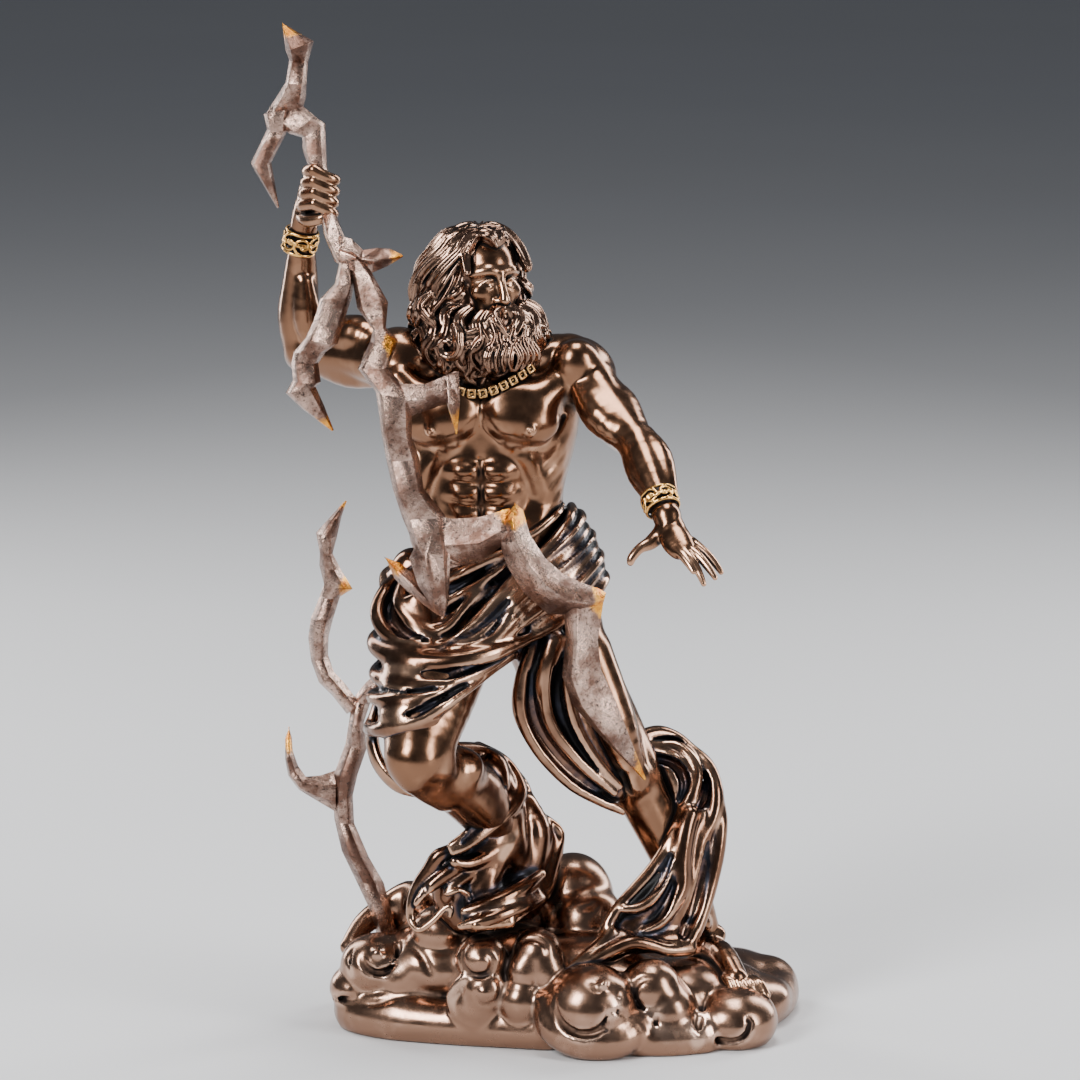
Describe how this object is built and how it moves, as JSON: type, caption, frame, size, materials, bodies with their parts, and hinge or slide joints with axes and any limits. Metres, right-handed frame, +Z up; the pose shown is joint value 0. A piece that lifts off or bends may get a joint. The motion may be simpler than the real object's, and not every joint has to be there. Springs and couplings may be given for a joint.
{
  "type": "bearded sky god statue",
  "caption": "Bronze-finish figurine of a bearded sky god striding over clouds with a raised thunderbolt, standing on its own cloud base",
  "frame": {"origin": "middle of the underside of the cloud base, on the surface it stands on", "axes": "+Z up; the viewer stands towards -Y; the raised thunderbolt is on the -X side and the stretched arm on the +X side"},
  "size_m": [0.1662, 0.1118, 0.305],
  "materials": {
    "bronze_finish": "warm copper-brown cold-cast bronze, polished on the high forms and near-black with blue-grey patina in the hollows",
    "thunderbolt_pewter": "rosy antique pewter with dark speckle and orange-gold tips",
    "ground_bolt_pewter": "rosy antique pewter with dark speckle and orange-gold tips"
  },
  "bodies": {
    "root": {"figure_on_clouds": "bronze_finish", "thunderbolt": "thunderbolt_pewter", "ground_bolt": "ground_bolt_pewter"}
  },
  "joints": []
}
